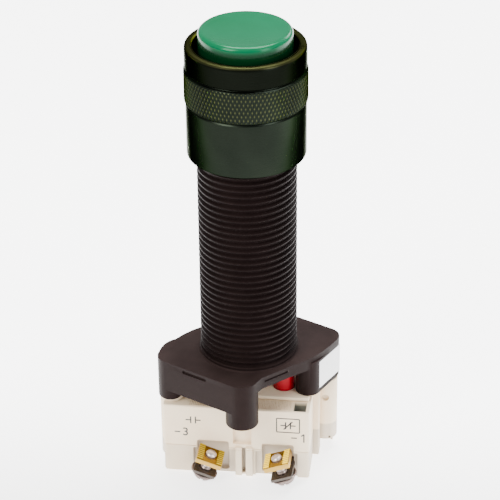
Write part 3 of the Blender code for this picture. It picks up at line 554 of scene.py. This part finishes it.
# Cap: glossy green plastic with a shallow dish for the finger and a rounded rim. It is pressed on
# the stem's top, and stands proud of the bezel.
CAP_R, CAP_TOP, CAP_BOTTOM = 13.86, 149.0, 140.3
RIM_AT, RIM_R = (12.45, 147.59), 1.41
cap = turned("button_cap_moulded", [
    (0, 148.35), (3.5, 148.38), (6.5, 148.49), (9.0, 148.66), (11.0, 148.86), (11.9, 148.96),
    (RIM_AT[0], CAP_TOP)] + arc(RIM_AT, RIM_R, 80, 0, 8) + [
    (CAP_R, CAP_BOTTOM + 0.2), (CAP_R - 0.2, CAP_BOTTOM), (12.26, CAP_BOTTOM), (12.26, 146.3),
    (5.0, 146.3), (5.0, 141.6), (3.5, 141.6), (3.5, 145.8), (0, 145.8)], 96)
cap_gloss, tree, shader, place = blank_material("cap_green_gloss")
shade = ramp(tree, noise(tree, place, 60.0, 4.0), (0, (0.0001, 0.085, 0.030)),
             (1, (0.0002, 0.120, 0.050)))
level = add_node(tree, "ShaderNodeSeparateXYZ", Vector=place).outputs["Z"]
# Painted shade: below the rim, the cap's side is made a much darker green than its top.
cap_side_shade = remap(tree, level, (CAP_TOP - 0.7) * MM, (CAP_TOP - 2.6) * MM, curve="SMOOTHSTEP")
rubbed = noise(tree, place, 260.0, 6.0, 0.7)
fill_sockets(tree, shader, Base_Color=blend(tree, cap_side_shade, shade, (0.0001, 0.020, 0.0055, 1)),
             Roughness=remap(tree, rubbed, 0.35, 0.75, 0.15, 0.28), Specular_IOR_Level=0.3,
             Specular_Tint=(0.40, 0.80, 0.55, 1), Coat_Weight=0.03, Coat_Roughness=0.06)
relief(tree, shader, rubbed, 0.05, 0.0001)
dress(cap, cap_gloss, "button", ["button_cap"])


# Inside the barrel: the cap's rubber seal, the white acetal bush that guides the stem, the stem
# with its clip, and the return spring that lifts the cap.
rubber = moulded("seal_rubber_black", (0.010, 0.010, 0.010), (0.018, 0.018, 0.018),
                 roughness=(0.7, 0.85), dust=0.2, specular=0.2)
acetal = moulded("acetal_white", (0.46, 0.45, 0.41), (0.56, 0.55, 0.51), roughness=(0.35, 0.5),
                 bump=0.1, dust=0.1)
seal = turned("cap_seal_moulded", [
    (12.3, 135.8), (14.85, 135.8), (15.0, 135.65), (15.0, 135.25), (14.85, 135.1), (12.3, 135.1),
    (12.15, 135.45), (12.3, 135.8)])
dress(seal, rubber, replaces=["cap_seal"])
guide = turned("stem_guide_bush", [
    (8.55, 134.5), (11.2, 134.5), (11.4, 134.3), (11.4, 117.4), (11.1, 117.1), (4.6, 117.1),
    (4.35, 117.35), (4.35, 132.1), (8.55, 132.1), (8.55, 134.5)], 48)
dress(guide, acetal, replaces=["stem_guide"])
stem = turned("plunger_stem_turned", [
    (0, 145.5), (2.9, 145.5), (3.2, 145.2), (3.2, 141.3), (3.7, 141.3), (4.0, 141.0),
    (4.0, 117.1), (3.0, 117.1), (3.0, 115.7), (4.0, 115.7), (4.0, 36.9), (3.7, 36.6),
    (2.5, 36.6), (2.5, 31.5), (2.2, 31.2), (0, 31.2)], 40)
dress(stem, acetal, "button", ["plunger_stem"])


def metal(name, dark, light, roughness=(0.22, 0.4), worn_to=None, metallic=1.0):
    """Bare or plated metal: uneven shine, fine tool marks and edges rubbed bright."""
    made, tree, shader, place = blank_material(name)
    patch = noise(tree, place, 500.0, 5.0)
    shade = ramp(tree, patch, (0.32, dark), (0.68, light))
    edges = add_node(tree, "ShaderNodeNewGeometry").outputs["Pointiness"]
    bright = (*(worn_to or [min(1, 1.15 * c) for c in light]), 1)
    fill_sockets(tree, shader, Metallic=metallic,
                 Base_Color=blend(tree, remap(tree, edges, 0.52, 0.62), shade, bright),
                 Roughness=remap(tree, patch, low=roughness[0], high=roughness[1]))
    relief(tree, shader, patch, 0.15, 0.00004)
    return made


spring_wire = metal("spring_wire", (0.30, 0.30, 0.31), (0.46, 0.46, 0.47))
plated_steel = metal("plated_steel", (0.30, 0.245, 0.225), (0.54, 0.465, 0.435), (0.3, 0.48),
                     metallic=0.8)
brass = metal("insert_brass", (0.28, 0.145, 0.003), (0.50, 0.285, 0.008), (0.28, 0.45),
              worn_to=(0.80, 0.55, 0.05), metallic=0.75)
# Painted shade: the silvered straps get a near-black base, for the shadow between each clamp plate
# and screw head.
shaded_strap_silver = metal("strap_silver", (0.035, 0.030, 0.026), (0.11, 0.095, 0.085), (0.35, 0.5))


def keep_node(name, material):
    """A hidden or half-hidden CAD node that keeps its own mesh and gets this finish."""
    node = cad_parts[name]
    node.data.materials.clear()
    node.data.materials.append(material)


def helix(name, at, radius, thickness, low, high, coils, steps=20):
    """A compression spring: a small upright ring, screwed up its axis, with its ends closed."""
    deselect()
    half = thickness / 2
    bpy.ops.mesh.primitive_circle_add(vertices=10, radius=half * MM, rotation=(pi / 2, 0, 0),
                                      location=(radius * MM, 0, (low + half) * MM))
    bpy.ops.object.transform_apply(location=True, rotation=True, scale=True)
    made = named(name)
    wind = made.modifiers.new("wind", "SCREW")
    wind.steps = wind.render_steps = steps
    wind.iterations = coils
    wind.screw_offset = (high - low - thickness) / coils * MM
    apply_all(made)
    bpy.ops.object.mode_set(mode="EDIT")
    bpy.ops.mesh.select_mode(type="VERT")
    bpy.ops.mesh.select_all(action="SELECT")
    bpy.ops.mesh.remove_doubles(threshold=MERGE)
    bpy.ops.mesh.fill_holes(sides=0)
    close_edit()
    made.data.transform(moved(*at))
    return tidy_mesh(made)


return_spring = helix("return_spring_wound", (0, 0), 7.5, 0.9, 132.4, 146.1, 6, 32)
dress(return_spring, spring_wire, replaces=["return_spring"])
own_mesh(return_spring)
keep_node("retaining_clip", spring_wire)


# Pusher: a flat acetal crossbar on the stem's lower end, held by a nut, that presses on both
# plungers of the block at once.
BAR_REACH, BAR_R, BAR_Z = 9.5, 4.5, (33.8, 36.3)
NUT_R, NUT_Z = 4.1, (31.6, 33.5)
STUD_HOLE_R, STUD_HOLE_Z = 2.8, (30, 40)
stadium = arc((BAR_REACH, 0), BAR_R, -90, 90, 16) + arc((-BAR_REACH, 0), BAR_R, 90, 270, 16)
pusher = soften(slab("pusher_crossbar", stadium, *BAR_Z), 0.4)
drill(pusher, STUD_HOLE_R, *STUD_HOLE_Z)
dress(tidy_mesh(pusher), acetal, "button", ["pusher_plate"])
nut = soften(slab("stem_hex_nut", arc((0, 0), NUT_R, 0, 300, 5), *NUT_Z), 0.25)
drill(nut, STUD_HOLE_R, *STUD_HOLE_Z)
dress(tidy_mesh(nut), plated_steel, "button", ["stem_nut"])


# Label: a blank rectangle of white self-adhesive film, stuck in a shallow recess on the outer face
# of the right leg, which keeps its edges from being rubbed off.
LABEL_X = (21.25, 21.55)
label = slab("rating_label_blank", turn_flange(rectangle(LABEL_X, LABEL_Y)), *LABEL_Z)
label_white = moulded("label_white_film", (0.88, 0.88, 0.88), (0.93, 0.93, 0.94), grain=900.0,
                      roughness=(0.3, 0.42), bump=0.05, dust=0.05, specular=0.5)
dress(soften(label, 0.06, 2), label_white, replaces=["rating_label"])


# Contact block: two off-white halves that meet in the middle, alike after half a turn. Each has a
# long end with a screw ear, ribbed shoulders, a grooved front and open pockets for two terminals.
BLOCK_TOP, FACE_Y, LONG_END, SHORT_END, BODY_END = 25.2, -12.75, 26.0, 20.3, 22.3
COVER_TOP = 26.7
POLE_X, PLUNGER_HOLE_R = 11.0, 3.6
TERMINAL_AT, TERMINAL_TILT = (10.3, 16.4, 10.0), radians(20)
RIB_WIDTH, RIB_HEIGHT, RIB_PITCH, RIB_COUNT, RIB_FIRST_X = 0.42, 0.24, 0.55, 59, -17.8
CORNER_X, CORNER_Y, CORNER_FLOOR = (15.2, 19.1), (-12.2, -7.2), BLOCK_TOP - 3.2
SEAM_Z = (10.05, 10.25)
EAR_DIMPLES = ((-23.9, -3.35, 20.3, 1.2), (-25.3, -3.75, 4.9, 0.4))
SWAP_YZ = Matrix(((1, 0, 0, 0), (0, 0, 1, 0), (0, 1, 0, 0), (0, 0, 0, 1)))


def block(name, x, y, z, edge=0.0):
    """A cube stretched between pairs of limits in mm, its edges rounded."""
    deselect()
    middle = [sum(pair) / 2 * MM for pair in (x, y, z)]
    size = [abs(pair[1] - pair[0]) * MM for pair in (x, y, z)]
    bpy.ops.mesh.primitive_cube_add(size=1, location=middle, scale=size)
    bpy.ops.object.transform_apply(location=True, rotation=False, scale=True)
    made = named(name)
    return soften(made, edge) if edge else tidy_mesh(made)


def tilted(made, side, facing):
    """Puts a piece modelled in a terminal's own frame in the block, on its X side and Y side."""
    at = moved(side * TERMINAL_AT[0], facing * TERMINAL_AT[1], TERMINAL_AT[2])
    made.data.transform(at @ Matrix.Rotation(-side * TERMINAL_TILT, 4, "Y"))
    return made


def ribs(y, z):
    """A row of fine three-sided ribs that run front to back on a shoulder."""
    outline = [(RIB_FIRST_X, z), (RIB_FIRST_X + RIB_WIDTH, z),
               (RIB_FIRST_X + RIB_WIDTH / 2, z + RIB_HEIGHT)]
    rib = slab("ribs", outline, *y)
    rib.data.transform(SWAP_YZ)
    row = rib.modifiers.new("row", "ARRAY")
    row.count = RIB_COUNT
    row.use_relative_offset = False
    row.use_constant_offset = True
    row.constant_offset_displace = (RIB_PITCH * MM, 0, 0)
    apply_all(rib)
    return tidy_mesh(rib)


def half_turned(piece, name):
    """A copy with its own mesh, turned by half a turn about the button's axis."""
    made = piece.copy()
    made.data = piece.data.copy()
    bpy.context.scene.collection.objects.link(made)
    made.name = made.data.name = name
    made.data.transform(Matrix.Rotation(pi, 4, "Z"))
    return made


ear = (-EAR_AT[0], -EAR_AT[1])
outline = arc((-LONG_END + 1.2, FACE_Y + 1.2), 1.2, 180, 270, 6)
outline += arc((SHORT_END - 0.8, FACE_Y + 0.8), 0.8, -90, 0, 5)
outline += [(SHORT_END, -0.15), (-BODY_END, -0.15), (-BODY_END, ear[1] - 0.5),
            (-LONG_END, ear[1] - 1.5)]
front = soften(slab("housing_front_half", outline, 0, BLOCK_TOP), 0.45, limit=60)
boolean(front, turned("ear", [
    (0, COVER_TOP), (3.25, COVER_TOP), (3.6, COVER_TOP - 0.15), (3.75, COVER_TOP - 0.5),
    (3.75, 4.5), (3.6, 4.15), (3.25, 4.0), (0, 4.0)], 40, ear), "UNION")
for x in ((-3.2, -1.0), (0.15, 2.5)):
    boolean(front, block("prong", x, (FACE_Y - 1.0, FACE_Y + 2), (0.05, 10.9), 0.4), "UNION")
boolean(front, block("groove", (-3.9, 2.0), (FACE_Y - 2, FACE_Y + 1.6), (11.7, 18.0), 0.25))
boolean(front, block("slot", (-1.05, 0.2), (FACE_Y - 2, FACE_Y + 1.6), (0.9, 10.5)))
boolean(front, block("corner", CORNER_X, CORNER_Y, (CORNER_FLOOR, BLOCK_TOP + 1), 0.2))
boolean(front, block("seam_step", (-30, 30), (FACE_Y - 1, FACE_Y + 0.25), SEAM_Z))
boolean(front, turned("ear_bore", [
    (0, 40), (1.8, 40), (1.8, 6.8), (2.8, 6.8), (2.8, -1), (0, -1)], 32, ear))
for x, y, z, dimple_r in EAR_DIMPLES:
    dimple = turned("dimple", [(0, 0.9), (dimple_r, 0.9), (dimple_r, -0.9), (0, -0.9)], 20)
    dimple.data.transform(moved(x, y, z) @ Matrix.Rotation(pi / 2, 4, "X"))
    boolean(front, tidy_mesh(dimple))
for side in (-1, 1):
    x = side * TERMINAL_AT[0]
    boolean(front, block("upper", (side * 4.0, side * 14.8), (-10.4, 1), (11.0, 23.7)))
    boolean(front, block("lower", (side * 4.0, side * 17.5), (-7.5, 1), (2.2, 11.5)))
    boolean(front, block("pocket", (side * 3.2, side * 16.6), (FACE_Y - 1, FACE_Y + 1.1),
                         (-1, 9.5), 0.4))
    boolean(front, block("arch", (x - 5.1, x + 5.1), (FACE_Y - 1, -9.8), (0.9, 12.6), 0.8))
    drill(front, PLUNGER_HOLE_R, 22, 27, at=(side * POLE_X, 0))
    boolean(front, tilted(block("strap_slot", (-3.8, 3.8), (5.9, 9.9), (-6.6, -5.1)), side, -1))
boolean(front, ribs((FACE_Y + 0.5, -7.1), BLOCK_TOP - 0.05), "UNION")
tidy_mesh(front, angle=38)
rear = half_turned(front, "housing_rear_half")
cover = block("block_cover_ribbed", (-19.6, 19.6), (-7.0, 7.0), (25.5, COVER_TOP), 0.3)
for side in (-1, 1):
    drill(cover, PLUNGER_HOLE_R, 20, 30, at=(side * POLE_X, 0))
tidy_mesh(cover)

housing, tree, shader, place = blank_material("housing_off_white")
age = noise(tree, place, 38.0, 4.0, 0.6)
shade = ramp(tree, age, (0.3, (0.84, 0.66, 0.45)), (0.75, (0.94, 0.80, 0.60)))
# Painted shade: faces in hollows and inner corners, found by their pointiness, are mixed towards a
# grey-brown.
hollows = add_node(tree, "ShaderNodeNewGeometry").outputs["Pointiness"]
hollow_shade = blend(tree, remap(tree, hollows, 0.38, 0.49, 0.45, 0.0), shade, (0.30, 0.27, 0.22, 1))
level = add_node(tree, "ShaderNodeSeparateXYZ", Vector=place)
sideways = maths(tree, "ABSOLUTE", level.outputs["X"])
depth_in = maths(tree, "ABSOLUTE", level.outputs["Y"])
# Painted shade: below the seam the front face is greyed a little, and the faces set back from it
# more.
behind = remap(tree, depth_in, (-FACE_Y - 0.2) * MM, (-FACE_Y - 0.65) * MM, 0.30, 0.55)
below = remap(tree, level.outputs["Z"], (SEAM_Z[1] + 0.15) * MM, (SEAM_Z[0] - 0.25) * MM)
lower_band_shade = blend(tree, maths(tree, "MULTIPLY", behind, below), hollow_shade, (0.34, 0.30, 0.26, 1))
# Painted shade: faces inside the block between about 21 and 24 mm high, the corner recess among
# them, are darkened to a grey-green.
pocket = None
for source, start, end in (
        (sideways, CORNER_X[1] + 0.6, CORNER_X[1] + 0.2),
        (depth_in, -CORNER_Y[0] + 0.3, -CORNER_Y[0] + 0.1),
        (level.outputs["Z"], BLOCK_TOP - 0.1, BLOCK_TOP - 1.4),
        (level.outputs["Z"], CORNER_FLOOR - 2, CORNER_FLOOR - 1)):
    within = remap(tree, source, start * MM, end * MM)
    pocket = maths(tree, "MULTIPLY", pocket, within) if pocket else within
fill_sockets(tree, shader, Base_Color=blend(tree, pocket, lower_band_shade, (0.17, 0.17, 0.14, 1)),
             Roughness=remap(tree, age, low=0.38, high=0.52), Specular_IOR_Level=0.4)
relief(tree, shader, noise(tree, place, 1700.0, 2.0), 0.12, 0.00006)
dress(front, housing, replaces=["housing_front"])
dress(rear, housing, replaces=["housing_rear"])
dress(cover, housing, replaces=["block_cover"])


# Printed marks: on each face, a dash and the terminal's number, with a plain drawing of an open
# contact on the left and a boxed one of a closed contact on the right, in thin grey-black ink.
INK, STROKE, THIN_STROKE = 0.03, 0.42, 0.36
DRAWING_XS = (-16.4, 13.6)
CONTACT = ((-2.4, 20.0, -0.75, 20.0), (0.75, 20.0, 2.4, 20.0), (-0.75, 18.7, -0.75, 21.3),
           (0.75, 18.7, 0.75, 21.3))
CLOSED = (-1.4, 18.5, 1.4, 21.5)
BOX = ((-3.6, 17.4, 3.6, 17.4), (-3.6, 22.6, 3.6, 22.6), (-3.6, 17.4, -3.6, 22.6),
       (3.6, 17.4, 3.6, 22.6))
NUMBER_AT, NUMBER_SIZE, NUMBER_DEPTH, NUMBER_SPREAD = (-18.9, 15.2), 4.2, 0.1, 0.04
LEFT_DASH, RIGHT_DASH = (-22.4, 15.2, -20.6, 15.2), (14.6, 15.4, 16.4, 15.4)
ONE = ((18.6, 13.9, 18.6, 17.0), (17.75, 16.2, 18.6, 17.0))
ink_pieces = []


def stroke(line, width=STROKE, at=0.0):
    """One straight line of ink on the front face, between two points (x, z), moved along by at."""
    start, end = Vector((line[0] + at, line[1])), Vector((line[2] + at, line[3]))
    reach = (end - start).length / 2
    made = block("stroke", (-reach, reach), (FACE_Y - INK, FACE_Y + 0.2), (-width / 2, width / 2))
    middle = (start + end) / 2
    turn = (end - start).angle_signed(Vector((1, 0)))
    made.data.transform(moved(middle.x, 0, middle.y) @ Matrix.Rotation(-turn, 4, "Y"))
    ink_pieces.append(made)


for drawing_x in DRAWING_XS:
    for line in CONTACT:
        stroke(line, at=drawing_x)
stroke(CLOSED, at=DRAWING_XS[1])
for line in BOX:
    stroke(line, THIN_STROKE, DRAWING_XS[1])
deselect()
bpy.ops.object.text_add(location=(0, 0, 0))
three = bpy.context.object.data
three.body = "3"
three.size = NUMBER_SIZE * MM
three.align_x, three.align_y = "CENTER", "CENTER"
three.extrude = NUMBER_DEPTH * MM
three.offset = NUMBER_SPREAD * MM
bpy.ops.object.convert(target="MESH")
made = bpy.context.object
number_place = moved(NUMBER_AT[0], FACE_Y + NUMBER_DEPTH - INK, NUMBER_AT[1])
made.data.transform(number_place @ Matrix.Rotation(pi / 2, 4, "X"))
ink_pieces.append(tidy_mesh(made))
for line in (LEFT_DASH, *ONE, RIGHT_DASH):
    stroke(line)
deselect()
for made in ink_pieces:
    made.select_set(True)
bpy.context.view_layer.objects.active = ink_pieces[0]
bpy.ops.object.join()
marks_front = named("printed_marks_front")
marks_front.select_set(False)
marks_rear = half_turned(marks_front, "printed_marks_rear")
ink = moulded("printing_ink", (0.035, 0.035, 0.038), (0.075, 0.072, 0.070), roughness=(0.5, 0.7),
              bump=0.05, dust=0.1)
dress(marks_front, ink)
dress(marks_rear, ink)


# Plungers: one red and one green moulding, each with a round head through the cover and a square
# carrier whose window holds the sprung contact bridge.
HEAD_AT, HEAD_ROUND, HEAD_R, HEAD_TOP = (2.3, 32.5), 1.0, 3.3, 33.5
red_plastic = moulded("plunger_red_plastic", (0.34, 0.0005, 0.009), (0.46, 0.0008, 0.014),
                      roughness=(0.22, 0.34), bump=0.08, dust=0.05, specular=0.25)
green_plastic = moulded("plunger_green_plastic", (0.005, 0.13, 0.045), (0.010, 0.18, 0.065),
                        roughness=(0.25, 0.36), bump=0.08, dust=0.05, specular=0.5)
for prefix, x, plastic, slot_name in (("no", -POLE_X, green_plastic, "plunger_green"),
                                      ("nc", POLE_X, red_plastic, "plunger_red")):
    dome = [(0, HEAD_TOP)] + arc(HEAD_AT, HEAD_ROUND, 90, 0, 6)
    plunger = turned(prefix + "_plunger_moulded", dome + [(HEAD_R, 23.0), (0, 23.0)], 48, (x, 0))
    carrier = block("carrier", (x - 4, x + 4), (-3.5, 3.5), (11.5, 23.4), 0.4)
    boolean(carrier, block("window", (x - 2.3, x + 2.3), (-9, 9), (13.0, 21.0)))
    boolean(plunger, carrier, "UNION")
    body_name = prefix + "_contact"
    dress(tidy_mesh(plunger), plastic, body_name, [prefix + "_plunger"])
    keep_node(prefix + "_contact_bridge", brass)
    keep_node(prefix + "_contact_spring", spring_wire)
    spring = helix(prefix + "_return_spring_wound", (x, 0), 2.6, 0.5, 2.5, 11.2, 5)
    dress(spring, spring_wire, replaces=[prefix + "_return_spring"])
    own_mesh(spring)


# Terminals: a brass clamp plate with two toothed strips grips the wire against a silvered strap,
# and a plated screw that points up through both draws them together. Each leans outwards.
TOOTH, TEETH, FIRST_TOOTH_Y, TOOTH_Z = 0.97, 8, -3.88, (-0.6, 0.0)
STRIP_X = (2.25, 4.1)
# Heights between which the terminal screws' painted shade fades in.
SHADE_START_Z, SHADE_FULL_Z = 6.2, 5.0
XYZ_FROM_YZX = Matrix(((0, 0, 1, 0), (1, 0, 0, 0), (0, 1, 0, 0), (0, 0, 0, 1)))
clamp_brass = metal("clamp_brass", (0.30, 0.16, 0.004), (0.46, 0.27, 0.010), (0.28, 0.45),
                    metallic=0.8)
tree, shader, place, clean = reopened(clamp_brass)
level = add_node(tree, "ShaderNodeSeparateXYZ", Vector=place)
lean, rise = sin(TERMINAL_TILT), cos(TERMINAL_TILT)
leaning = maths(tree, "MULTIPLY_ADD", maths(tree, "ABSOLUTE", level.outputs["X"]), -lean,
                (lean * TERMINAL_AT[0] - rise * TERMINAL_AT[2]) * MM)
local_height = maths(tree, "MULTIPLY_ADD", level.outputs["Z"], rise, leaning)
# Painted shade and painted highlight on the toothed strips: dark low in and between the teeth,
# bright yellow on the crests, by height in the terminal's own frame.
tooth_shade_and_highlight = ramp(tree, remap(tree, local_height, -0.7 * MM, 0.0), (0.20, (0.52, 0.33, 0.09)),
             (0.26, (0.24, 0.125, 0.002)), (0.50, (0.09, 0.042, 0.001)),
             (0.80, (0.86, 0.60, 0.035)))
fill_sockets(tree, shader, Base_Color=blend(tree, 0.72, clean, tooth_shade_and_highlight))
screw_plating = metal("screw_plating", (0.46, 0.38, 0.35), (0.72, 0.62, 0.58), (0.28, 0.45),
                      metallic=0.8)
tree, shader, place, clean = reopened(screw_plating)
level = add_node(tree, "ShaderNodeSeparateXYZ", Vector=place)
# Painted shade: the screw's lower shank and head, low under the block, are mixed to a dark, dull
# base.
head_shade = remap(tree, level.outputs["Z"], SHADE_START_Z * MM, SHADE_FULL_Z * MM)
fill_sockets(tree, shader, Base_Color=blend(tree, head_shade, clean, (0.21, 0.160, 0.145, 1)))
for side, facing in ((-1, -1), (1, -1), (-1, 1), (1, 1)):
    where = ("front" if facing < 0 else "rear") + ("_left" if side < 0 else "_right")
    plate = block("clamp_plate_toothed_" + where, (-4.2, 4.2), (-4.0, 4.0), (-2.2, -0.5), 0.2)
    for end in (-1, 1):
        for tooth in range(TEETH):
            y = FIRST_TOOTH_Y + TOOTH * tooth
            low, high = TOOTH_Z
            ridge = slab("ridge", [(y, low), (y + TOOTH, low), (y + TOOTH * 0.6, high),
                                   (y + TOOTH * 0.4, high)], *sorted(end * x for x in STRIP_X))
            ridge.data.transform(XYZ_FROM_YZX)
            boolean(plate, tidy_mesh(ridge), "UNION")
    drill(plate, 2.0, -4, 3)
    tidy_mesh(tilted(plate, side, facing))
    dress(plate, clamp_brass, replaces=["clamp_plate_" + where])

    shank = [(0, 0.95), (0.9, 0.85), (1.5, 0.5), (1.75, 0.1)]
    for turn in range(6):
        shank += [(1.75, -0.25 - turn), (1.5, -0.75 - turn)]
    head = turned("terminal_screw_turned_" + where, shank + [
        (1.75, -6.3), (1.75, -6.6), (4.05, -6.6), (4.3, -6.8), (4.3, -7.15), (4.05, -7.4),
        (3.3, -7.5), (3.2, -8.3), (2.8, -8.95), (1.6, -9.2), (0, -9.2)], 40)
    for reach_x, reach_y in ((4, 0.45), (0.45, 4)):
        boolean(head, block("slot", (-reach_x, reach_x), (-reach_y, reach_y), (-10, -8.3)))
    tidy_mesh(tilted(head, side, facing))
    dress(head, screw_plating, replaces=["terminal_screw_" + where])
    keep_node("contact_strap_" + where, shaded_strap_silver)


# Fixings: two long plated steel screws with slotted heads. They go up through the block's ears into
# threaded brass inserts, which are pressed into the operator's legs.
for side, name in ((-1, "left"), (1, "right")):
    at = (side * EAR_AT[0], side * EAR_AT[1])
    fixing = turned("mounting_screw_turned_" + name, [
        (0, 35.0), (1.2, 35.0), (1.5, 34.7), (1.5, 6.5), (2.3, 6.5), (2.5, 6.3), (2.5, 4.8),
        (2.1, 4.3), (0, 4.3)], 32, at)
    boolean(fixing, block("slot", (at[0] - 3, at[0] + 3), (at[1] - 0.35, at[1] + 0.35), (3, 5.2)))
    dress(tidy_mesh(fixing), plated_steel, replaces=["mounting_screw_" + name])
    keep_node("screw_insert_" + name, brass)
